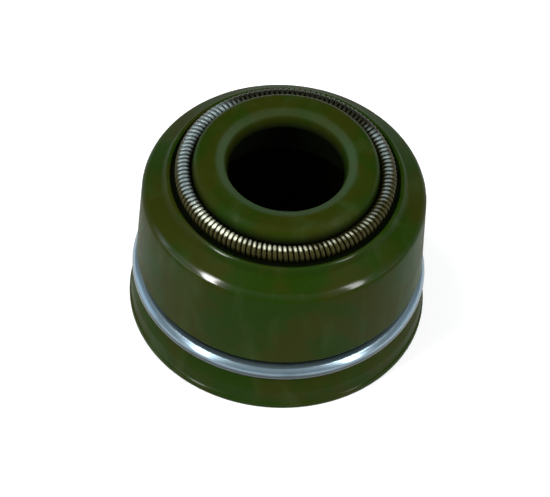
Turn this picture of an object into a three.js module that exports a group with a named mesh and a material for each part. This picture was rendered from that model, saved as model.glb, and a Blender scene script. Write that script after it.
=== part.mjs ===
// Valve stem seal: a moulded rubber body that grips the top of an engine's valve guide and wipes
// oil from the valve stem. A garter spring presses the stem lip inwards, and a steel wire ring
// squeezes the skirt onto the guide. The seal stands on its foot, as it does before it is fitted.
// Millimetres, +Z up along the stem, origin at the centre of the foot.

import * as THREE from "three";

// Driving dimensions of the rubber body.
const bodyDiameter = 11.0; // the wall just under the shoulder
const wallDraft = 0.04; // how much the wall's radius grows from the shoulder down to the ring
const bodyHeight = 8.08; // foot to lip face
const shoulderHeight = 6.28; // foot to the corner where wall and shoulder would meet
const shoulderFillet = 0.42;
const rimWidth = 0.16; // the rim that keeps the garter spring in from outside
const rimDrop = 0.18; // its top lies this far under the spring's middle
const rimFillet = 0.08;
const coveOffset = 0.1; // the cove's foot stands out this far from the rim
const coveDepth = 0.36; // and lies this far under it
const coveFillet = 0.3;

// The stem lip at the top.
const lipBore = 4.5; // free bore of the sealing edge, for a 5 mm stem
const lipEdgeDepth = 0.6; // sealing edge under the lip face
const lipEdgeFillet = 0.05;
const throatDiameter = 4.82; // inner edge of the bevel around the mouth
const bevelWidth = 0.32;
const bevelDepth = 0.1;
const lipDiameter = 7.06; // where the lip's side would meet its face
const lipFillet = 0.34;
const reliefDiameter = 5.96; // chamber between the lip and the guide's end
const reliefDepth = 1.3; // the chamber reaches its full width this far under the lip face

// The socket that is pressed over the valve guide.
const socketBore = 8.2; // free bore, for an 8.5 mm guide
const socketDepth = 5.3; // foot to the stop that meets the guide's end
const stopFillet = 0.2;
const ribCount = 3;
const ribHeight = 0.12;
const ribHalfWidth = 0.26;
const ribSpacing = 1.35;
const lowestRib = 1.35;
const entryChamfer = 0.38;

// The flared skirt under the wire ring.
const skirtDiameter = 11.4;
const skirtWaist = 0.95; // height where the skirt starts to draw in
const skirtFillet = 0.6;
const footRimHeight = 0.3; // a low rim runs round the foot
const footRimStep = 0.05;
const footFillet = 0.12;

// The steel wire ring in its groove.
const ringWire = 0.64;
const ringMeanDiameter = 10.7;
const ringHeight = 1.87; // wire's middle above the foot
const ringClearance = 0.02;
const grooveLowerEnd = -60; // degrees round the wire, 0 pointing outwards
const grooveUpperEnd = 120;
const grooveFlare = 0.52; // height of the open throat above the wire
const wallFootFillet = 0.12;

// The garter spring, one close-wound coil joined end to end.
const springMeanDiameter = 7.92;
const springCoilDiameter = 0.66;
const springWire = 0.17;
const springTurnGap = 0.015; // between turns at the inside of the ring, where they lie closest
const springDepth = 0.8; // middle of the coil under the lip face
const springClearance = 0.03;
const beadReach = 30; // degrees that the lip's bead reaches up round the coil
const troughGap = 0.13; // from the coil's seat out to the rim
const troughFillet = 0.1;

// Facets.
const roundSegments = 48;
const wireSides = 10;
const coilSteps = 8;
const coilSides = 5;
const filletStep = 35; // degrees of turn for each facet of a fillet
const seatStep = 24; // the same for the two seats

const rubber = new THREE.MeshStandardMaterial({ color: 0x344810, roughness: 0.32, metalness: 0 });
const brightSteel = new THREE.MeshStandardMaterial({ color: 0xa9b2b8, roughness: 0.18, metalness: 1 });
const springSteel = new THREE.MeshStandardMaterial({ color: 0x9c9a90, roughness: 0.25, metalness: 1 });

const radians = THREE.MathUtils.degToRad;
const at = (radius, height) => new THREE.Vector2(radius, height);

// One stretch of an outline: a corner with a fillet, or the round seat of a wire or coil.
const corner = (radius, height, fillet = 0) => ({ points: [at(radius, height)], fillet });

function seat(centre, radius, fromDegrees, toDegrees) {
  const curve = new THREE.EllipseCurve(
    centre.x, centre.y, radius, radius, radians(fromDegrees), radians(toDegrees), true,
  );
  const turn = curve.getLength() / radius;
  return { points: curve.getPoints(Math.ceil(turn / radians(seatStep))), fillet: 0 };
}

// The points that round off one corner. Its fillet uses at most half of the shorter side beside it.
function filletPoints(before, point, after, fillet) {
  const toBefore = before.clone().sub(point);
  const toAfter = after.clone().sub(point);
  const halfAngle = toBefore.angleTo(toAfter) / 2;
  const longest = Math.min(toBefore.length(), toAfter.length()) / 2;
  const setback = Math.min(fillet / Math.tan(halfAngle), longest);
  const radius = setback * Math.tan(halfAngle);
  toBefore.setLength(setback);
  toAfter.setLength(setback);
  const centre = toBefore.clone().add(toAfter).setLength(radius / Math.sin(halfAngle)).add(point);
  const start = toBefore.add(point).sub(centre);
  const end = toAfter.add(point).sub(centre);
  const clockwise = start.cross(end) < 0;
  const curve = new THREE.EllipseCurve(
    centre.x, centre.y, radius, radius, start.angle(), end.angle(), clockwise,
  );
  const turn = Math.PI - 2 * halfAngle;
  return curve.getPoints(Math.max(1, Math.ceil(turn / radians(filletStep))));
}

// Joins the stretches of an outline into one closed line.
function outline(stretches) {
  const points = stretches.flatMap((stretch, i) => {
    if (!stretch.fillet) {
      return stretch.points;
    }
    const before = stretches.at(i - 1).points.at(-1);
    const after = stretches[(i + 1) % stretches.length].points[0];
    return filletPoints(before, stretch.points[0], after, stretch.fillet);
  });
  return [...points, points[0].clone()];
}

// Turns an outline of (radius, height) round the stem's axis.
function turned(stretches) {
  return new THREE.LatheGeometry(outline(stretches), roundSegments).rotateX(Math.PI / 2);
}

const springCentre = at(springMeanDiameter / 2, bodyHeight - springDepth);
const troughRadius = springCoilDiameter / 2 + springClearance;
const rimTop = springCentre.y - rimDrop;
const ringCentre = at(ringMeanDiameter / 2, ringHeight);

// The foot and the flared skirt, up to the wire.
function skirtOutline() {
  const radius = skirtDiameter / 2;
  return [
    corner(radius, 0, footFillet),
    corner(radius, footRimHeight),
    corner(radius - footRimStep, footRimHeight + footRimStep),
    corner(radius - footRimStep, skirtWaist, skirtFillet),
  ];
}

// The wire's seat, open above so that the ring can be snapped in.
function ringGroove() {
  return [seat(ringCentre, ringWire / 2 + ringClearance, grooveLowerEnd, grooveUpperEnd)];
}

// The wall, the shoulder and the cove under the rim.
function bodyOutline() {
  const wall = bodyDiameter / 2;
  const grooveTop = ringHeight + ringWire / 2 + grooveFlare;
  const rimOuter = springCentre.x + troughRadius + troughGap + rimWidth;
  return [
    corner(wall + wallDraft, grooveTop, wallFootFillet),
    corner(wall, shoulderHeight, shoulderFillet),
    corner(rimOuter + coveOffset, rimTop - coveDepth, coveFillet),
    corner(rimOuter, rimTop, rimFillet),
  ];
}

// The trough that the coil lies in, from the rim down to its floor and round to the lip's bead.
function springTrough() {
  const rimInner = springCentre.x + troughRadius + troughGap;
  return [
    corner(rimInner, rimTop, rimFillet),
    corner(rimInner, springCentre.y - troughRadius, troughFillet),
    seat(springCentre, troughRadius, -90, 180 - beadReach),
  ];
}

// The lip's side and face, the mouth, the sealing edge and the relief chamber.
function lipOutline() {
  const throat = throatDiameter / 2;
  return [
    corner(lipDiameter / 2, bodyHeight, lipFillet),
    corner(throat + bevelWidth, bodyHeight),
    corner(throat, bodyHeight - bevelDepth),
    corner(lipBore / 2, bodyHeight - lipEdgeDepth, lipEdgeFillet),
    corner(reliefDiameter / 2, bodyHeight - reliefDepth),
    corner(reliefDiameter / 2, socketDepth),
  ];
}

// The guide's stop and the socket's wall, with its grip ribs, down to the entry chamfer.
function socketOutline() {
  const bore = socketBore / 2;
  const ribs = [];
  for (let i = ribCount - 1; i >= 0; i -= 1) {
    const height = lowestRib + i * ribSpacing;
    ribs.push(
      corner(bore, height + ribHalfWidth),
      corner(bore - ribHeight, height),
      corner(bore, height - ribHalfWidth),
    );
  }
  return [
    corner(bore, socketDepth, stopFillet),
    ...ribs,
    corner(bore, entryChamfer),
    corner(bore + entryChamfer, 0),
  ];
}

function rubberBody() {
  const stretches = [
    ...skirtOutline(),
    ...ringGroove(),
    ...bodyOutline(),
    ...springTrough(),
    ...lipOutline(),
    ...socketOutline(),
  ];
  const body = new THREE.Mesh(turned(stretches), rubber);
  body.name = "rubber_body";
  return body;
}

function retainingRing() {
  const geometry = new THREE.TorusGeometry(ringCentre.x, ringWire / 2, wireSides, roundSegments);
  const ring = new THREE.Mesh(geometry, brightSteel);
  ring.name = "retaining_ring";
  ring.position.z = ringCentre.y;
  return ring;
}

// The wire's middle line: a helix bent round into a ring, so that its end meets its start.
class GarterHelix extends THREE.Curve {
  constructor(ringRadius, helixRadius, turns) {
    super();
    this.ringRadius = ringRadius;
    this.helixRadius = helixRadius;
    this.turns = turns;
    this.arcLengthDivisions = turns * coilSteps * 4;
  }

  getPoint(t, target = new THREE.Vector3()) {
    const round = 2 * Math.PI * t;
    const wound = round * this.turns;
    const radius = this.ringRadius + this.helixRadius * Math.cos(wound);
    return target.set(
      radius * Math.cos(round),
      radius * Math.sin(round),
      this.helixRadius * Math.sin(wound),
    );
  }
}

function garterSpring() {
  const helixRadius = (springCoilDiameter - springWire) / 2;
  const innerLength = 2 * Math.PI * (springCentre.x - helixRadius);
  const turns = Math.floor(innerLength / (springWire + springTurnGap));
  const helix = new GarterHelix(springCentre.x, helixRadius, turns);
  const wire = new THREE.TubeGeometry(helix, turns * coilSteps, springWire / 2, coilSides, true);
  const spring = new THREE.Mesh(wire, springSteel);
  spring.name = "garter_spring";
  spring.position.z = springCentre.y;
  return spring;
}

const seal = new THREE.Group();
seal.name = "valve_stem_seal";
seal.add(rubberBody(), retainingRing(), garterSpring());

export default seal;
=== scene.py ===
"""The look of a valve stem seal: a moulded rubber body, its garter spring and its wire ring."""

import math

import bmesh
import bpy
from mathutils import Matrix, Vector


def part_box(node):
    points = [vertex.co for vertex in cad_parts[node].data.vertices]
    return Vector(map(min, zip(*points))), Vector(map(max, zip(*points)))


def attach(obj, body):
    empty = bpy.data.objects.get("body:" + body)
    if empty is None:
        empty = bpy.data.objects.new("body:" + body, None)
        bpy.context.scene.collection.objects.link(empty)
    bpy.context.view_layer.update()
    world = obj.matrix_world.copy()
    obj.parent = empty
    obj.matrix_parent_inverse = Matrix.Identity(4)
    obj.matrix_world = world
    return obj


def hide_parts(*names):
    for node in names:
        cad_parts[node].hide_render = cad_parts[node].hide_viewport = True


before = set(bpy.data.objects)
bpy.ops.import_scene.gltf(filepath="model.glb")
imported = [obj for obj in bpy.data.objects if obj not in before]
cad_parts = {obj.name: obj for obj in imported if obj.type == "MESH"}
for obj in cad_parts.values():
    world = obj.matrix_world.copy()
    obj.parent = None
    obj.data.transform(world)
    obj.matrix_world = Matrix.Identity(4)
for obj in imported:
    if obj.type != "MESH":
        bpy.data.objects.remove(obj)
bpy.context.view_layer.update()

bl_info = {
    "name": "Valve Stem Seal",
    "version": (1, 0, 0),
    "blender": (4, 5, 0),
    "location": "3D View > Sidebar > Stem Seal",
    "description": "Builds a valve stem seal with its garter spring and wire ring",
    "category": "Add Mesh",
}

# Pieces are modelled in millimetres and brought to metres when they are finished.
MM = 0.001
BODY = "root"
FULL_TURN = 2 * math.pi


def length(name, description, default):
    return bpy.props.FloatProperty(
        name=name,
        description=description,
        default=default,
        min=0.0,
        precision=5,
        unit="LENGTH",
    )


def angle(name, description, degrees):
    return bpy.props.FloatProperty(
        name=name,
        description=description,
        default=math.radians(degrees),
        subtype="ANGLE",
    )


def colour(name, description, default):
    return bpy.props.FloatVectorProperty(
        name=name,
        description=description,
        default=default,
        min=0.0,
        max=1.0,
        size=3,
        subtype="COLOR",
    )


def count(name, description, default):
    return bpy.props.IntProperty(name=name, description=description, default=default, min=3)


class SealBodySizes(bpy.types.PropertyGroup):
    """Sizes of the rubber body"""

    height: length("Height", "Foot to lip face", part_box("rubber_body")[1].z)
    wall_radius: length("Wall radius", "Wall just under the shoulder", 0.0055)
    wall_draft: length("Wall draft", "Growth of the wall's radius down to the ring", 0.00004)
    shoulder_height: length("Shoulder height", "Where wall and shoulder would meet", 0.00628)
    shoulder_fillet: length("Shoulder fillet", "Rounding of the body's upper edge", 0.00042)
    rim_width: length("Rim width", "Rim that keeps the garter spring in", 0.00016)
    rim_drop: length("Rim drop", "Rim under the middle of the spring", 0.00018)
    rim_fillet: length("Rim fillet", "Rounding of the rim", 0.00008)
    cove_offset: length("Cove offset", "How far the cove's foot stands out", 0.0001)
    cove_depth: length("Cove depth", "How far the cove lies under the rim", 0.00036)
    cove_fillet: length("Cove fillet", "Rounding of the cove", 0.0003)
    skirt_radius: length("Skirt radius", "Rim of the foot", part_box("rubber_body")[1].x)
    skirt_waist: length("Skirt waist", "Height where the skirt draws in", 0.00095)
    skirt_fillet: length("Skirt fillet", "Rounding of the skirt's waist", 0.0004)
    foot_rim_height: length("Foot rim height", "Low rim round the foot", 0.0003)
    foot_rim_step: length("Foot rim step", "How far the foot rim stands out", 0.00005)
    foot_fillet: length("Foot fillet", "Rounding of the foot's edge", 0.00012)
    wall_foot_fillet: length("Wall foot fillet", "Rounding above the ring", 0.00012)
    groove_flare: length("Groove flare", "Open throat above the ring", 0.00052)
    groove_fillet: length("Groove fillet", "Rounding under the ring's seat", 0.00004)
    groove_low: angle("Groove lower end", "Lower end of the ring's seat", -60)
    groove_high: angle("Groove upper end", "Upper end of the ring's seat", 120)
    seat_clearance: length("Ring clearance", "Gap round the ring", 0.00002)
    segments: count("Segments", "Steps of one turn", 256)


class SealLipSizes(bpy.types.PropertyGroup):
    """Sizes of the stem lip and of the socket"""

    side_radius: length("Side radius", "Where the lip's side meets its face", 0.00353)
    side_fillet: length("Side fillet", "Rounding of the lip's outer edge", 0.00034)
    bead_reach: angle("Bead reach", "How far the lip reaches up round the spring", 30)
    trough_clearance: length("Trough clearance", "Gap round the garter spring", 0.00003)
    trough_gap: length("Trough gap", "From the spring's seat out to the rim", 0.00013)
    trough_fillet: length("Trough fillet", "Rounding of the trough's outer corner", 0.0001)
    throat_radius: length("Throat radius", "Inner edge of the bevel", 0.00241)
    bevel_width: length("Bevel width", "Bevel round the mouth", 0.00032)
    bevel_depth: length("Bevel depth", "Bevel round the mouth", 0.0001)
    edge_radius: length("Sealing edge radius", "Free bore of the lip", 0.00225)
    edge_depth: length("Sealing edge depth", "Sealing edge under the face", 0.0006)
    relief_radius: length("Relief radius", "Chamber under the lip", 0.00298)
    relief_depth: length("Relief depth", "Full width under the face", 0.0013)
    socket_radius: length("Socket radius", "Free bore for the guide", 0.0041)
    socket_depth: length("Socket depth", "Foot to stop", 0.0053)
    bead_fillet: length("Bead fillet", "Rounding of the bead over the spring", 0.00006)
    mouth_fillet: length("Mouth fillet", "Rounding of the bevel's two edges", 0.00012)
    edge_fillet: length("Sealing edge fillet", "Rounding of the sealing edge", 0.00004)
    relief_fillet: length("Relief fillet", "Rounding at the chamber's top", 0.0003)
    chamber_fillet: length("Chamber fillet", "Rounding at the chamber's foot", 0.00008)
    stop_fillet: length("Stop fillet", "Rounding of the socket's end", 0.0002)
    rib_fillet: length("Rib fillet", "Rounding of the grip ribs", 0.0001)
    rib_count: count("Rib count", "Grip ribs in the socket", 3)
    rib_height: length("Rib height", "Grip ribs in the socket", 0.00012)
    rib_width: length("Rib half width", "Grip ribs in the socket", 0.00026)
    rib_spacing: length("Rib spacing", "Grip ribs in the socket", 0.00135)
    entry_chamfer: length("Entry chamfer", "Chamfer at the foot", 0.00038)
    entry_fillet: length("Entry fillet", "Rounding above the chamfer", 0.00015)
    entry_foot_fillet: length("Entry foot fillet", "Rounding under the chamfer", 0.00005)


class SealSpringSizes(bpy.types.PropertyGroup):
    """Sizes of the garter spring"""

    ring_radius: length("Ring radius", "Middle of the coil", 0.00396)
    coil_radius: length("Coil radius", "Outside of the coil", 0.00033)
    wire_radius: length("Wire radius", "Wire of the coil", 0.000085)
    turn_gap: length("Turn gap", "Gap between turns at the inside", 0.000015)
    depth: length("Depth", "Middle of the coil under the lip face", 0.0008)
    steps: count("Steps", "Steps of one turn of the wire", 20)
    sides: count("Sides", "Sides of the wire", 12)


class SealRingSizes(bpy.types.PropertyGroup):
    """Sizes of the wire ring"""

    ring_radius: length("Ring radius", "Middle of the wire", 0.00535)
    wire_radius: length("Wire radius", "Wire of the ring", 0.00032)
    height: length("Height", "Middle of the wire above the foot", 0.00187)
    end_gap: length("End gap", "Between the wire's two ends", 0.0003)
    end_bevel: length("End bevel", "Rounding of the cut ends", 0.00003)
    segments: count("Segments", "Steps of one turn", 256)
    sides: count("Sides", "Sides of the wire", 32)


class SealColours(bpy.types.PropertyGroup):
    """Colours of the seal"""

    rubber: colour("Rubber", "Body", (0.0095, 0.0255, 0.0007))
    rubber_brown: colour("Brownish rubber", "Uneven tone of the body", (0.0180, 0.0230, 0.0011))
    rubber_pale: colour("Pale rubber", "Haze and flow marks", (0.0230, 0.0395, 0.0080))
    rubber_bevel_reflection: colour("Painted bevel reflection", "Bevel round the mouth", (0.036, 0.062, 0.03))
    painted_shade: colour("Painted shade in recesses", "Inside the mouth and in the trough", (0.002, 0.003, 0.001))
    ring_steel: colour("Ring steel", "Wire ring", (0.20, 0.275, 0.33))
    ring_stain_and_shade: colour("Stained and shaded steel", "Stains and painted shade on the wire ring", (0.034, 0.045, 0.050))
    spring_steel: colour("Spring steel", "Garter spring", (0.18, 0.22, 0.22))
    spring_painted_highlight: colour("Bright spring", "Painted highlight on the spring's front", (0.95, 0.97, 0.74))
    spring_shade_and_stain: colour("Spring shade and stain", "Painted shade and oil stains on the wire", (0.027, 0.024, 0.003))
    floor: colour("Floor", "Pale floor", (0.85, 0.85, 0.85))


class SealSettings(bpy.types.PropertyGroup):
    """All that a user of the seal would change"""

    body: bpy.props.PointerProperty(type=SealBodySizes, name="Body")
    lip: bpy.props.PointerProperty(type=SealLipSizes, name="Lip")
    spring: bpy.props.PointerProperty(type=SealSpringSizes, name="Garter spring")
    ring: bpy.props.PointerProperty(type=SealRingSizes, name="Wire ring")
    colours: bpy.props.PointerProperty(type=SealColours, name="Colours")


# Shader maths


class Value:
    """A socket that takes part in Python expressions; each operator adds its Math node."""

    def __init__(self, paint, socket):
        self.paint = paint
        self.socket = socket

    def __add__(self, other):
        return self.paint.maths("ADD", self, other)

    def __radd__(self, other):
        return self.paint.maths("ADD", other, self)

    def __sub__(self, other):
        return self.paint.maths("SUBTRACT", self, other)

    def __rsub__(self, other):
        return self.paint.maths("SUBTRACT", other, self)

    def __mul__(self, other):
        return self.paint.maths("MULTIPLY", self, other)

    def __rmul__(self, other):
        return self.paint.maths("MULTIPLY", other, self)

    def root(self):
        return self.paint.maths("SQRT", self)

    def maximum(self, other):
        return self.paint.maths("MAXIMUM", self, other)

    def clamped(self):
        return self.paint.maths("ADD", self, 0.0, clamp=True)

    def between(self, low, high):
        """0 below low and 1 above high, with a soft step between them."""
        settings = {"interpolation_type": "SMOOTHSTEP"}
        values = {"Value": self, "From Min": low, "From Max": high}
        return self.paint.node("ShaderNodeMapRange", settings, values)

    def past(self, edge, reach):
        """0 before an edge and 1 past it; the reach says where the step starts and ends."""
        return self.between(edge + reach[0], edge + reach[1])


class Paint:
    """The node tree of one material, world or lamp."""

    def __init__(self, tree):
        self.tree = tree
        tree.nodes.clear()

    def node(self, kind, settings=None, values=None, out=0):
        """Adds a node with its settings and its sockets' values or links; returns one output."""
        made = self.tree.nodes.new(kind)
        for key, setting in (settings or {}).items():
            setattr(made, key, setting)
        for key, value in (values or {}).items():
            if isinstance(value, Value):
                self.tree.links.new(value.socket, made.inputs[key])
            else:
                made.inputs[key].default_value = value
        return Value(self, made.outputs[out])

    def maths(self, operation, *values, clamp=False):
        settings = {"operation": operation, "use_clamp": clamp}
        return self.node("ShaderNodeMath", settings, dict(enumerate(values)))

    def place(self):
        """Where a point lies on the piece, in metres."""
        return self.node("ShaderNodeTexCoord", out="Object")

    def parts(self, vector):
        """The three numbers of a vector."""
        first = self.node("ShaderNodeSeparateXYZ", values={0: vector})
        outputs = first.socket.node.outputs
        return [Value(self, outputs[i]) for i in range(3)]

    def noise(self, vector, scale, detail=2.0, roughness=0.5, distortion=0.0):
        values = {
            "Vector": vector,
            "Scale": scale,
            "Detail": detail,
            "Roughness": roughness,
            "Distortion": distortion,
        }
        return self.node("ShaderNodeTexNoise", {"noise_dimensions": "3D"}, values)

    def stretched(self, vector, factors):
        return self.node(
            "ShaderNodeVectorMath", {"operation": "MULTIPLY"}, {0: vector, 1: factors}
        )

    def joined(self, x, y, z):
        return self.node("ShaderNodeCombineXYZ", values={0: x, 1: y, 2: z})

    def bump(self, height, strength):
        values = {"Strength": strength, "Distance": 1.0, "Height": height}
        return self.node("ShaderNodeBump", values=values)

    def mix(self, share, first, second):
        """A colour between two colours."""
        values = {0: share, 6: first, 7: second}
        return self.node("ShaderNodeMix", {"data_type": "RGBA"}, values, out=2)

    def finish(self, shader, target="ShaderNodeOutputMaterial"):
        output = self.tree.nodes.new(target)
        self.tree.links.new(shader.socket, output.inputs["Surface"])


def opaque(rgb):
    return (*rgb, 1.0)


def new_material(name):
    material = bpy.data.materials.new(name)
    material.use_nodes = True
    return material, Paint(material.node_tree)


def turn_round_axis(paint, place):
    """The angle of a place round the stem's axis."""
    x, y = paint.parts(place)[:2]
    return paint.maths("ARCTAN2", y, x)


def section_place(paint, place):
    """Where a place lies in the section: its distance from the axis and its height."""
    x, y, z = paint.parts(place)
    return (x * x + y * y).root(), z


# Materials

# How far before or past an edge the rubber's painted reflection, painted shade and coat start to
# change and have changed, in metres.
MOUTH_INSIDE = (-0.00008, 0.00006)
MOUTH_DEPTH = (-0.0003, -0.00015)
MOUTH_BACK = (0.0006, 0.0024)
TROUGH_INSIDE = (-0.0001, 0.00002)
TROUGH_OUTSIDE = (-0.0001, 0.00004)
TROUGH_DEPTH = (-0.0006, -0.0003)
SHOULDER_START = (-0.00007, -0.00001)
SHOULDER_END = (0.00008, 0.00016)
RIM_INSIDE = (0.0, 0.00003)
RIM_START = (-0.00006, -0.00003)
RIM_END = (0.0, 0.00005)

# Heights of the grain that the bump nodes read, in metres.
FLOW_RELIEF = 0.000003
SKIN_RELIEF = 0.0000008
STAIN_RELIEF = 0.000002


def rim_radius(sizes):
    """The inner side of the rim."""
    spring, lip = sizes.spring, sizes.lip
    return spring.ring_radius + spring.coil_radius + lip.trough_clearance + lip.trough_gap


def painted_mouth_reflection(sizes, radius, height, y):
    """Painted reflection: the mouth's bevel is painted paler than the moulded skin, least so at the
    back.
    """
    lip = sizes.lip
    outer = lip.throat_radius + lip.bevel_width
    mouth_reflection = radius.past(lip.throat_radius, MOUTH_INSIDE)
    mouth_reflection = mouth_reflection * (1.0 - radius.between(outer * 0.96, outer * 1.04))
    mouth_reflection = mouth_reflection * height.past(sizes.body.height, MOUTH_DEPTH)
    return mouth_reflection * (0.65 - y.between(*MOUTH_BACK) * 0.4)


def painted_shade_inside(sizes, radius, height):
    """Painted shade: darkens what lies inside the mouth and in the spring's trough, where shade
    falls.
    """
    lip, face = sizes.lip, sizes.body.height
    inside = 1.0 - radius.between(lip.socket_radius, lip.socket_radius + lip.entry_chamfer)
    mouth = (face - lip.edge_depth * 1.1, face - lip.bevel_depth * 1.4)
    inside = inside * (1.0 - height.between(*mouth))
    trough = radius.past(lip.side_radius, TROUGH_INSIDE)
    trough = trough * (1.0 - radius.past(rim_radius(sizes), TROUGH_OUTSIDE))
    trough = trough * (1.0 - height.past(face, TROUGH_DEPTH))
    return (inside.maximum(trough) * 0.94).clamped()


def polished_edges(sizes, radius, height, x, y):
    """Handling has polished the shoulder, the rim and the foot's rim, most so beside the front."""
    body = sizes.body
    shoulder = height.past(body.shoulder_height, SHOULDER_START)
    shoulder = shoulder * (1.0 - height.past(body.shoulder_height, SHOULDER_END))
    rim_top = body.height - sizes.spring.depth - body.rim_drop
    rim = radius.past(rim_radius(sizes), RIM_INSIDE) * height.past(rim_top, RIM_START)
    rim = rim * (1.0 - height.past(rim_top, RIM_END))
    foot_rim = body.foot_rim_height
    foot = height.between(foot_rim, foot_rim + body.foot_rim_step)
    foot = foot * (1.0 - height.between(foot_rim * 1.2, foot_rim * 1.5))
    front = 1.0 - y.between(-0.0042, -0.002)
    beside = 0.25 + (x * x).between(0.000002, 0.000005) * 0.75
    right = 1.0 - x.between(0.001, 0.002) * 0.6
    return shoulder.maximum(rim * 0.4).maximum(foot * 0.25) * (front * beside) * right


def rubber_material(sizes, colours):
    """Moulded rubber: dark, slightly uneven in tone, with polished edges, a painted reflection on
    the mouth's bevel and painted shade inside the mouth and in the trough.
    """
    material, paint = new_material("moulded olive rubber")
    place = paint.place()
    radius, height = section_place(paint, place)
    x, y = paint.parts(place)[:2]

    cloud = paint.noise(place, scale=420.0, detail=3.0, roughness=0.6)
    drawn_out = paint.stretched(place, (1.0, 1.0, 0.35))
    flow = paint.noise(drawn_out, scale=750.0, detail=3.0, distortion=0.6)
    speck = paint.noise(place, scale=5200.0, detail=1.0)
    skin = paint.noise(place, scale=14000.0, detail=1.0)

    brown = cloud.between(0.42, 0.6)
    base = paint.mix(brown, opaque(colours.rubber), opaque(colours.rubber_brown))
    haze = flow.between(0.48, 0.7) * 0.5 + speck.between(0.6, 0.8) * 0.15
    base = paint.mix(haze, base, opaque(colours.rubber_pale))
    # Painted reflection: the mouth's bevel is painted paler, least so at the back.
    mouth_reflection = painted_mouth_reflection(sizes, radius, height, y)
    base = paint.mix(mouth_reflection, base, opaque(colours.rubber_bevel_reflection))
    # Painted shade inside the mouth and in the trough; it also makes the rubber rougher there.
    inside_shade = painted_shade_inside(sizes, radius, height)
    base = paint.mix(inside_shade, base, opaque(colours.painted_shade))

    edges = polished_edges(sizes, radius, height, x, y)
    polish = edges * (0.7 + cloud * 0.5) + flow.between(0.5, 0.75) * 0.02
    roughness = 0.32 + cloud.between(0.35, 0.7) * 0.1 + speck * 0.08 + inside_shade * 0.3
    shader = paint.node(
        "ShaderNodeBsdfPrincipled",
        values={
            "Base Color": base,
            "Roughness": roughness,
            "Specular IOR Level": 0.025,
            "Coat Weight": polish.clamped(),
            "Coat IOR": 1.7,
            "Coat Roughness": 0.13,
            "Normal": paint.bump(flow * FLOW_RELIEF + skin * SKIN_RELIEF, 0.5),
        },
    )
    paint.finish(shader)
    return material


def ring_material(sizes, colours):
    """Plated wire: fine lines along it, a few stained patches, and painted shade darkening its lower
    side.
    """
    ring = sizes.ring
    material, paint = new_material("drawn ring wire")
    place = paint.place()
    radius, height = section_place(paint, place)
    along = turn_round_axis(paint, place) * 0.0003
    lines = paint.noise(paint.joined(along, radius, height), scale=9000.0, detail=2.0)
    patches = paint.noise(place, scale=650.0, detail=3.0, roughness=0.6)
    dull = patches.between(0.5, 0.72)
    # Painted shade: the wire's lower half is painted dark, the upper half keeps the plated steel.
    unshaded_top = height.between(ring.height, ring.height + ring.wire_radius * 0.5)
    base = paint.mix(
        (1.0 - unshaded_top + dull * 0.3 + lines * 0.15).clamped(),
        opaque(colours.ring_steel),
        opaque(colours.ring_stain_and_shade),
    )
    shader = paint.node(
        "ShaderNodeBsdfPrincipled",
        values={
            "Base Color": base,
            "Metallic": 0.7,
            "Roughness": 0.2 + dull * 0.06 + lines * 0.04,
            "Normal": paint.bump(dull * STAIN_RELIEF, 0.3),
        },
    )
    paint.finish(shader)
    return material


def spring_material(sizes, colours):
    """Spring wire: a painted highlight in front, painted shade low on the coil and at the back, and
    brown oil stains.
    """
    spring = sizes.spring
    material, paint = new_material("oiled spring wire")
    place = paint.place()
    x, y, height = paint.parts(place)
    stain = paint.noise(place, scale=1700.0, detail=3.0, roughness=0.6)
    middle = sizes.body.height - spring.depth
    # Painted shade: the coil is painted brown below its top, the line tilted by direction, with
    # random stains.
    level = height + stain * 0.00012 - x * 0.009 + y * 0.012
    low = 1.0 - level.between(
        middle + spring.coil_radius * 0.85, middle + spring.coil_radius * 1.15
    )
    # Painted shade at the back of the coil.
    back = (y + x * 0.14).between(spring.ring_radius * 0.62, spring.ring_radius * 0.82)
    # Painted highlight: the front of the coil is painted bright.
    front_highlight = 1.0 - y.between(spring.ring_radius * -0.85, spring.ring_radius * -0.4)
    steel = paint.mix(front_highlight, opaque(colours.spring_steel), opaque(colours.spring_painted_highlight))
    base = paint.mix(
        (low + back + stain.between(0.58, 0.78) * 0.3).clamped(),
        steel,
        opaque(colours.spring_shade_and_stain),
    )
    # More painted shade at the back, in the dark recess colour.
    base = paint.mix(back * 0.7, base, opaque(colours.painted_shade))
    shader = paint.node(
        "ShaderNodeBsdfPrincipled",
        values={
            "Base Color": base,
            "Metallic": 0.8,
            "Roughness": 0.4 + stain * 0.2,
            "Normal": paint.bump(stain * STAIN_RELIEF, 0.4),
        },
    )
    paint.finish(shader)
    return material


# Modelling

# In millimetres: the square that shrinks to a section's first vertex, how far in from the foot's
# edge that vertex lies, and how near vertices lie that are one point.
SEED = 0.1
FOOT_START = 1.0
SAME_POINT = 0.002
SEAM = 0.0005
# A fillet takes at most this share of the shorter side beside it.
LONGEST_SETBACK = 0.49


def fresh_selection():
    if bpy.context.mode != "OBJECT":
        bpy.ops.object.mode_set(mode="OBJECT")
    bpy.ops.object.select_all(action="DESELECT")


def edit():
    bpy.ops.object.mode_set(mode="EDIT")


def select_near(points, reach=SAME_POINT):
    """Selects the vertices of the edited mesh that lie at these points, in millimetres."""
    mesh = bmesh.from_edit_mesh(bpy.context.object.data)
    bpy.ops.mesh.select_mode(type="VERT")
    bpy.ops.mesh.select_all(action="DESELECT")
    mesh.verts.ensure_lookup_table()
    for point in points:
        nearest = min(mesh.verts, key=lambda vertex: (vertex.co - point).length)
        if (nearest.co - point).length > reach:
            raise RuntimeError(f"no vertex lies at {tuple(point)}")
        nearest.select_set(True)
    mesh.select_flush_mode()
    bmesh.update_edit_mesh(bpy.context.object.data)


def spot(radius, height):
    """A point of the section, which stands in the plane of X and Z."""
    return Vector((radius, 0.0, height))


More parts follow.
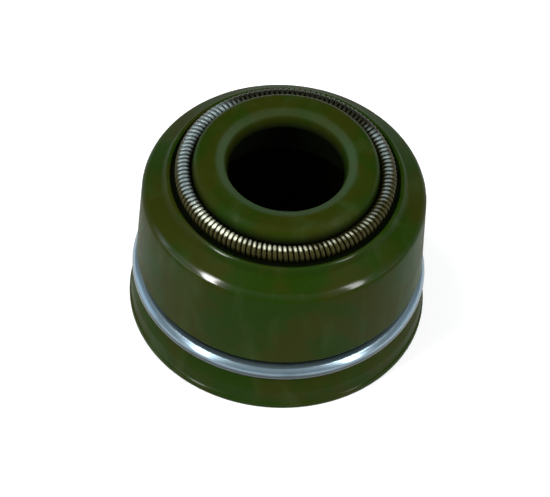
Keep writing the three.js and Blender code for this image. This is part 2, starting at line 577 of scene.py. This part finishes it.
class Section:
    """A closed section, drawn by extruding one vertex, to be turned round the stem's axis."""

    def __init__(self, name, start):
        fresh_selection()
        bpy.ops.mesh.primitive_plane_add(size=SEED, location=start)
        self.piece = bpy.context.object
        self.piece.name = name
        self.piece.data.name = name
        bpy.ops.object.transform_apply(location=True, rotation=True, scale=True)
        edit()
        bpy.ops.mesh.select_all(action="SELECT")
        bpy.ops.mesh.merge(type="CENTER")
        self.start = start
        self.pen = start
        self.fillets = []

    def line(self, point, fillet=0.0):
        """A straight side to a corner that gets a fillet later."""
        bpy.ops.mesh.extrude_region_move(TRANSFORM_OT_translate={"value": point - self.pen})
        self.pen = point
        if fillet:
            self.fillets.append((point, fillet))

    def seat(self, centre, sweep, steps):
        """A round seat: the pen turns clockwise about its centre."""
        bpy.ops.mesh.spin(steps=steps, angle=-sweep, center=centre, axis=(0.0, 1.0, 0.0))
        self.pen = centre + Matrix.Rotation(sweep, 3, "Y") @ (self.pen - centre)

    def close(self, segments):
        """Joins the end to the start and rounds the corners."""
        select_near([self.start, self.pen])
        bpy.ops.mesh.edge_face_add()
        for corner, fillet in self.fillets:
            select_near([corner])
            mesh = bmesh.from_edit_mesh(self.piece.data)
            vertex = next(v for v in mesh.verts if v.select)
            ways = [edge.other_vert(vertex).co - vertex.co for edge in vertex.link_edges]
            half = ways[0].angle(ways[1]) / 2
            longest = min(way.length for way in ways) * LONGEST_SETBACK
            setback = min(fillet / math.tan(half), longest)
            bpy.ops.mesh.bevel(
                offset_type="OFFSET",
                offset=setback,
                segments=segments,
                profile=0.5,
                affect="VERTICES",
            )

    def turn(self, steps):
        """Turns the section round the axis and closes the seam."""
        bpy.ops.mesh.select_all(action="SELECT")
        bpy.ops.mesh.spin(
            steps=steps, angle=FULL_TURN, center=(0.0, 0.0, 0.0), axis=(0.0, 0.0, 1.0)
        )
        bpy.ops.mesh.select_all(action="SELECT")
        bpy.ops.mesh.remove_doubles(threshold=SEAM)
        bpy.ops.mesh.normals_make_consistent(inside=False)
        bpy.ops.object.mode_set(mode="OBJECT")
        return self.piece


def finish_piece(piece, material, node, sharp=35):
    """Brings a piece to metres, and gives it its finish and its place in the frame."""
    fresh_selection()
    bpy.context.view_layer.objects.active = piece
    piece.select_set(True)
    edit()
    bpy.ops.mesh.select_all(action="SELECT")
    bpy.ops.transform.resize(value=(MM, MM, MM), center_override=(0.0, 0.0, 0.0))
    bpy.ops.object.mode_set(mode="OBJECT")
    bpy.ops.object.shade_smooth_by_angle(angle=math.radians(sharp))
    piece.data.materials.clear()
    piece.data.materials.append(material)
    check_closed(piece)
    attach(piece, BODY)
    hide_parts(node)


def check_closed(piece):
    mesh = bmesh.new()
    mesh.from_mesh(piece.data)
    loose = sum(1 for edge in mesh.edges if len(edge.link_faces) != 2)
    volume = mesh.calc_volume(signed=True)
    mesh.free()
    if loose or volume <= 0:
        raise RuntimeError(f"{piece.name} is open or inside out: {loose} edges, {volume}")


def in_mm(group):
    """The lengths of a property group in millimetres; its angles and counts as they are."""
    sizes = {}
    for key, prop in group.bl_rna.properties.items():
        if key in ("rna_type", "name"):
            continue
        value = getattr(group, key)
        sizes[key] = value / MM if prop.unit == "LENGTH" else value
    return type("Sizes", (), sizes)


# Light and camera

# The floor and the room: radius in metres, the glow that the camera alone sees, the fill light at
# the sides and above, and what shiny surfaces show of the room.
FLOOR_RADIUS = 1.5
FLOOR_GLOW = 0.35
FILL_SIDES = (0.12, 0.125, 0.125)
FILL_ABOVE = (0.25, 0.26, 0.26)
ROOM_SIDES = (0.26, 0.31, 0.32)
ROOM_ABOVE = (0.6, 0.63, 0.6)
LAMP_DISTANCE = 0.5
AIM = Vector((0.0, 0.0, 0.004))
WHITE = (1.0, 1.0, 1.0)
DAYLIGHT = (0.72, 0.95, 1.2)

# Strips and windows: name, the directions of their two ends, width, radiance and tint. A direction
# is a turn from the front and a rise above the floor; these and the widths are in degrees.
LAMPS = (
    ("left_low", (-46.0, 8.0), (-62.0, 58.0), 9.0, 18.0, WHITE),
    ("left_high", (-74.0, 64.8), (-107.0, 72.0), 9.0, 22.0, WHITE),
    ("right_low", (56.0, 10.0), (66.0, 54.0), 9.0, 15.0, WHITE),
    ("right_high", (76.0, 59.0), (105.0, 68.0), 9.0, 20.0, WHITE),
    ("left_window", (-100.0, 2.0), (-100.0, 28.0), 30.0, 1.2, DAYLIGHT),
    ("right_window", (104.0, 4.0), (104.0, 26.0), 26.0, 0.4, DAYLIGHT),
)

# The picture: its size, its scale at the foot's middle, where that point lies in it, how far the
# camera stands above the floor and leans, in degrees, and its distance in metres.
FRAME_WIDTH = 550
FRAME_HEIGHT = 497
PIXELS_PER_METRE = 25730.0
FOOT_PIXEL = (276.0, 295.6)
CAMERA_RISE = 50.0
CAMERA_ROLL = 4.6
CAMERA_DISTANCE = 0.6


def seen_directly(paint):
    """1 for what the camera sees, also in and through shiny surfaces, and 0 for the rest."""
    path = paint.node("ShaderNodeLightPath")
    outputs = path.socket.node.outputs
    camera = Value(paint, outputs["Is Camera Ray"])
    glossy = Value(paint, outputs["Is Glossy Ray"])
    through = Value(paint, outputs["Is Transmission Ray"])
    return (camera + glossy + through).clamped()


def direction(turn, rise):
    """Towards a point that lies so many degrees round from the front and above the floor."""
    a, e = math.radians(turn), math.radians(rise)
    return Vector((math.sin(a) * math.cos(e), -math.cos(a) * math.cos(e), math.sin(e)))


def add_strip(name, start, end, width, radiance, tint):
    """A soft rectangular lamp that faces the seal, with its length from one direction to another."""
    first, last = direction(*start), direction(*end)
    back = (first + last).normalized()
    across = (last - first).cross(back).normalized()
    along = back.cross(across)
    data = bpy.data.lights.new(name, "AREA")
    data.shape = "RECTANGLE"
    data.size = 2 * LAMP_DISTANCE * math.tan(math.radians(width) / 2)
    data.size_y = 2 * LAMP_DISTANCE * math.tan(first.angle(last) / 2)
    data.energy = radiance * math.pi * data.size * data.size_y
    data.color = tint
    lamp = bpy.data.objects.new(name, data)
    turned = Matrix((across, along, back)).transposed().to_4x4()
    lamp.matrix_world = Matrix.Translation(AIM + back * LAMP_DISTANCE) @ turned
    bpy.context.scene.collection.objects.link(lamp)


def add_camera(scene):
    """Looks down at the seal as the photograph does, with the same lean and framing."""
    data = bpy.data.cameras.new("camera")
    data.sensor_width = 36.0
    pixel = data.sensor_width / FRAME_WIDTH
    data.lens = PIXELS_PER_METRE * pixel * CAMERA_DISTANCE
    data.clip_start, data.clip_end = 0.01, 10.0
    camera = bpy.data.objects.new("camera", data)
    scene.collection.objects.link(camera)
    back = direction(0.0, CAMERA_RISE)
    turned = back.to_track_quat("Z", "Y").to_matrix() @ Matrix.Rotation(
        math.radians(CAMERA_ROLL), 3, "Z"
    )
    right = (FRAME_WIDTH / 2 - FOOT_PIXEL[0]) / PIXELS_PER_METRE
    up = (FOOT_PIXEL[1] - FRAME_HEIGHT / 2) / PIXELS_PER_METRE
    place = back * CAMERA_DISTANCE + turned @ Vector((right, up, 0.0))
    camera.matrix_world = Matrix.Translation(place) @ turned.to_4x4()
    scene.camera = camera


# Operators


class SEAL_OT_body(bpy.types.Operator):
    """Model the moulded rubber body"""

    bl_idname = "seal.body"
    bl_label = "Rubber Body"

    def execute(self, context):
        settings = context.scene.seal
        body, lip = in_mm(settings.body), in_mm(settings.lip)
        spring, ring = in_mm(settings.spring), in_mm(settings.ring)
        centre = spot(spring.ring_radius, body.height - spring.depth)
        trough = spring.coil_radius + lip.trough_clearance
        rim_outer = centre.x + trough + lip.trough_gap + body.rim_width
        rim_top = centre.z - body.rim_drop
        section = Section("rubber_body_look", spot(body.skirt_radius - FOOT_START, 0.0))
        self.draw_skirt(section, body, ring)
        self.draw_wall(section, body, rim_outer, rim_top)
        self.draw_trough(section, body, lip, centre, trough, rim_top)
        self.draw_lip(section, body, lip)
        self.draw_socket(section, lip)
        section.close(segments=6)
        piece = section.turn(body.segments)
        material = rubber_material(settings, settings.colours)
        finish_piece(piece, material, "rubber_body")
        return {"FINISHED"}

    @staticmethod
    def draw_skirt(section, body, ring):
        radius, low = body.skirt_radius, body.skirt_radius - body.foot_rim_step
        section.line(spot(radius, 0.0), body.foot_fillet)
        step = body.foot_rim_step
        step_fillet = step * 0.6
        section.line(spot(radius, body.foot_rim_height), step_fillet)
        section.line(spot(low, body.foot_rim_height + step), step_fillet)
        section.line(spot(low, body.skirt_waist), body.skirt_fillet)
        seat = ring.wire_radius + body.seat_clearance
        centre = spot(ring.ring_radius, ring.height)
        start = centre + seat * spot(math.cos(body.groove_low), math.sin(body.groove_low))
        section.line(start, body.groove_fillet)
        section.seat(centre, FULL_TURN + body.groove_low - body.groove_high, steps=24)

    @staticmethod
    def draw_wall(section, body, rim_outer, rim_top):
        wall_foot = spot(body.wall_radius + body.wall_draft, section.pen.z + body.groove_flare)
        section.line(wall_foot, body.wall_foot_fillet)
        section.line(spot(body.wall_radius, body.shoulder_height), body.shoulder_fillet)
        cove = spot(rim_outer + body.cove_offset, rim_top - body.cove_depth)
        section.line(cove, body.cove_fillet)
        section.line(spot(rim_outer, rim_top), body.rim_fillet)

    @staticmethod
    def draw_trough(section, body, lip, centre, trough, rim_top):
        rim_inner = centre.x + trough + lip.trough_gap
        section.line(spot(rim_inner, rim_top), body.rim_fillet)
        section.line(spot(rim_inner, centre.z - trough), lip.trough_fillet)
        section.line(centre - spot(0.0, trough))
        section.seat(centre, math.pi / 2 + lip.bead_reach, steps=24)
        section.fillets.append((section.pen, lip.bead_fillet))

    @staticmethod
    def draw_lip(section, body, lip):
        top = body.height
        section.line(spot(lip.side_radius, top), lip.side_fillet)
        section.line(spot(lip.throat_radius + lip.bevel_width, top), lip.mouth_fillet)
        section.line(spot(lip.throat_radius, top - lip.bevel_depth), lip.mouth_fillet)
        section.line(spot(lip.edge_radius, top - lip.edge_depth), lip.edge_fillet)
        section.line(spot(lip.relief_radius, top - lip.relief_depth), lip.relief_fillet)

    @staticmethod
    def draw_socket(section, lip):
        wall, chamfer = lip.socket_radius, lip.entry_chamfer
        section.line(spot(lip.relief_radius, lip.socket_depth), lip.chamber_fillet)
        section.line(spot(wall, lip.socket_depth), lip.stop_fillet)
        for i in range(lip.rib_count, 0, -1):
            height = lip.rib_spacing * i
            section.line(spot(wall, height + lip.rib_width), lip.rib_fillet)
            section.line(spot(wall - lip.rib_height, height), lip.rib_fillet)
            section.line(spot(wall, height - lip.rib_width), lip.rib_fillet)
        section.line(spot(wall, chamfer), lip.entry_fillet)
        section.line(spot(wall + chamfer, 0.0), lip.entry_foot_fillet)


class SEAL_OT_ring(bpy.types.Operator):
    """Bend the steel wire ring, with its cut ends at the back"""

    bl_idname = "seal.ring"
    bl_label = "Wire Ring"

    def execute(self, context):
        settings = context.scene.seal
        ring = in_mm(settings.ring)
        fresh_selection()
        half_gap = ring.end_gap / ring.ring_radius / 2
        start = Matrix.Rotation(math.pi / 2 + half_gap, 3, "Z") @ spot(ring.ring_radius, 0.0)
        bpy.ops.mesh.primitive_circle_add(
            vertices=ring.sides,
            radius=ring.wire_radius,
            fill_type="NGON",
            location=start + Vector((0.0, 0.0, ring.height)),
            rotation=(math.pi / 2, 0.0, math.pi / 2 + half_gap),
        )
        piece = bpy.context.object
        piece.name = piece.data.name = "retaining_ring_look"
        bpy.ops.object.transform_apply(location=True, rotation=True, scale=True)
        edit()
        bpy.ops.mesh.select_all(action="SELECT")
        bpy.ops.mesh.spin(
            steps=ring.segments,
            angle=FULL_TURN - 2 * half_gap,
            center=(0.0, 0.0, 0.0),
            axis=(0.0, 0.0, 1.0),
        )
        self.bevel_ends(piece, ring)
        bpy.ops.mesh.select_all(action="SELECT")
        bpy.ops.mesh.normals_make_consistent(inside=False)
        bpy.ops.object.mode_set(mode="OBJECT")
        material = ring_material(settings, settings.colours)
        finish_piece(piece, material, "retaining_ring")
        return {"FINISHED"}

    @staticmethod
    def bevel_ends(piece, ring):
        bpy.ops.mesh.select_mode(type="FACE")
        bpy.ops.mesh.select_all(action="DESELECT")
        mesh = bmesh.from_edit_mesh(piece.data)
        for face in mesh.faces:
            face.select_set(len(face.verts) == ring.sides)
        bmesh.update_edit_mesh(piece.data)
        bpy.ops.mesh.region_to_loop()
        bpy.ops.mesh.bevel(offset=ring.end_bevel, segments=3, affect="EDGES")


class SEAL_OT_spring(bpy.types.Operator):
    """Wind the garter spring and bend it into a ring"""

    bl_idname = "seal.spring"
    bl_label = "Garter Spring"

    def execute(self, context):
        settings = context.scene.seal
        spring, body = in_mm(settings.spring), in_mm(settings.body)
        helix = spring.coil_radius - spring.wire_radius
        inner = FULL_TURN * (spring.ring_radius - helix)
        turns = math.floor(inner / (2 * spring.wire_radius + spring.turn_gap))
        around = FULL_TURN * spring.ring_radius
        piece = self.wind(spring, helix, turns, around)
        self.bend(piece, spring, around, body.height - spring.depth)
        material = spring_material(settings, settings.colours)
        finish_piece(piece, material, "garter_spring", sharp=60)
        return {"FINISHED"}

    @staticmethod
    def wind(spring, helix, turns, around):
        """A straight coil along X."""
        fresh_selection()
        bpy.ops.mesh.primitive_circle_add(
            vertices=spring.sides,
            radius=spring.wire_radius,
            fill_type="NOTHING",
            location=(0.0, 0.0, helix),
            rotation=(math.pi / 2, 0.0, 0.0),
        )
        piece = bpy.context.object
        piece.name = piece.data.name = "garter_spring_look"
        bpy.ops.object.transform_apply(location=True, rotation=True, scale=True)
        screw = piece.modifiers.new("coil", "SCREW")
        screw.axis = "X"
        screw.angle = FULL_TURN
        screw.screw_offset = around / turns
        screw.iterations = turns
        screw.steps = screw.render_steps = spring.steps
        screw.use_merge_vertices = False
        bpy.ops.object.modifier_apply(modifier=screw.name)
        return piece

    @staticmethod
    def bend(piece, spring, around, height):
        """The coil's end is bent round to meet its start."""
        xs = [vertex.co.x for vertex in piece.data.vertices]
        reach = max(xs) - min(xs)
        bend = piece.modifiers.new("ring", "SIMPLE_DEFORM")
        bend.deform_method = "BEND"
        bend.deform_axis = "Z"
        bend.angle = FULL_TURN * reach / around
        bpy.ops.object.modifier_apply(modifier=bend.name)
        points = [vertex.co for vertex in piece.data.vertices]
        low = Vector([min(p[i] for p in points) for i in range(3)])
        high = Vector([max(p[i] for p in points) for i in range(3)])
        middle = (low + high) / 2
        edit()
        bpy.ops.mesh.select_all(action="SELECT")
        bpy.ops.transform.translate(value=(-middle.x, -middle.y, height - middle.z))
        bpy.ops.mesh.remove_doubles(threshold=SAME_POINT)
        bpy.ops.mesh.normals_make_consistent(inside=False)
        bpy.ops.object.mode_set(mode="OBJECT")


class SEAL_OT_stage(bpy.types.Operator):
    """Lay the floor and set up the studio light and the camera"""

    bl_idname = "seal.stage"
    bl_label = "Stage"

    def execute(self, context):
        settings = context.scene.seal
        self.add_floor(settings)
        self.set_world(context.scene)
        for lamp in LAMPS:
            add_strip(*lamp)
        add_camera(context.scene)
        context.scene.view_settings.view_transform = "Standard"
        return {"FINISHED"}

    @staticmethod
    def add_floor(settings):
        fresh_selection()
        bpy.ops.mesh.primitive_circle_add(vertices=96, radius=FLOOR_RADIUS, fill_type="NGON")
        floor = bpy.context.object
        floor.name = "floor"
        material, paint = new_material("pale floor")
        radius = section_place(paint, paint.place())[0]
        foot = settings.body.skirt_radius
        open_floor = radius.between(foot * 0.9, foot)
        matt = paint.node(
            "ShaderNodeBsdfDiffuse", values={"Color": opaque(settings.colours.floor)}
        )
        glow = paint.node(
            "ShaderNodeEmission",
            values={"Strength": seen_directly(paint) * open_floor * FLOOR_GLOW},
        )
        both = paint.node("ShaderNodeAddShader", values={0: matt, 1: glow})
        paint.finish(both)
        floor.data.materials.append(material)

    @staticmethod
    def set_world(scene):
        world = bpy.data.worlds.new("studio")
        world.use_nodes = True
        scene.world = world
        paint = Paint(world.node_tree)
        way = paint.node("ShaderNodeTexCoord", out="Generated")
        up = paint.parts(way)[2]
        room = paint.mix(up.between(0.5, 0.95), opaque(ROOM_SIDES), opaque(ROOM_ABOVE))
        backdrop = paint.mix(up.between(0.05, 0.12), opaque((1.0, 1.0, 1.0)), room)
        fill = paint.mix(up.between(0.0, 0.8), opaque(FILL_SIDES), opaque(FILL_ABOVE))
        light = paint.mix(seen_directly(paint), fill, backdrop)
        shader = paint.node("ShaderNodeBackground", values={"Color": light, "Strength": 1.0})
        paint.finish(shader, "ShaderNodeOutputWorld")


class SEAL_PT_panel(bpy.types.Panel):
    """Lists the seal's pieces"""

    bl_idname = "SEAL_PT_panel"
    bl_label = "Valve Stem Seal"
    bl_space_type = "VIEW_3D"
    bl_region_type = "UI"
    bl_category = "Stem Seal"

    def draw(self, context):
        column = self.layout.column()
        for operator in OPERATORS:
            column.operator(operator.bl_idname)
        for group in ("body", "lip", "spring", "ring", "colours"):
            settings = getattr(context.scene.seal, group)
            box = column.box()
            for key in settings.__annotations__:
                box.prop(settings, key)


GROUPS = (
    SealBodySizes,
    SealLipSizes,
    SealSpringSizes,
    SealRingSizes,
    SealColours,
    SealSettings,
)
OPERATORS = (SEAL_OT_body, SEAL_OT_ring, SEAL_OT_spring, SEAL_OT_stage)


def register():
    for item in (*GROUPS, *OPERATORS, SEAL_PT_panel):
        bpy.utils.register_class(item)
    bpy.types.Scene.seal = bpy.props.PointerProperty(type=SealSettings)


def unregister():
    del bpy.types.Scene.seal
    for item in reversed((*GROUPS, *OPERATORS, SEAL_PT_panel)):
        bpy.utils.unregister_class(item)


def main():
    register()
    bpy.ops.seal.body()
    bpy.ops.seal.ring()
    bpy.ops.seal.spring()
    bpy.ops.seal.stage()


if __name__ == "__main__":
    main()
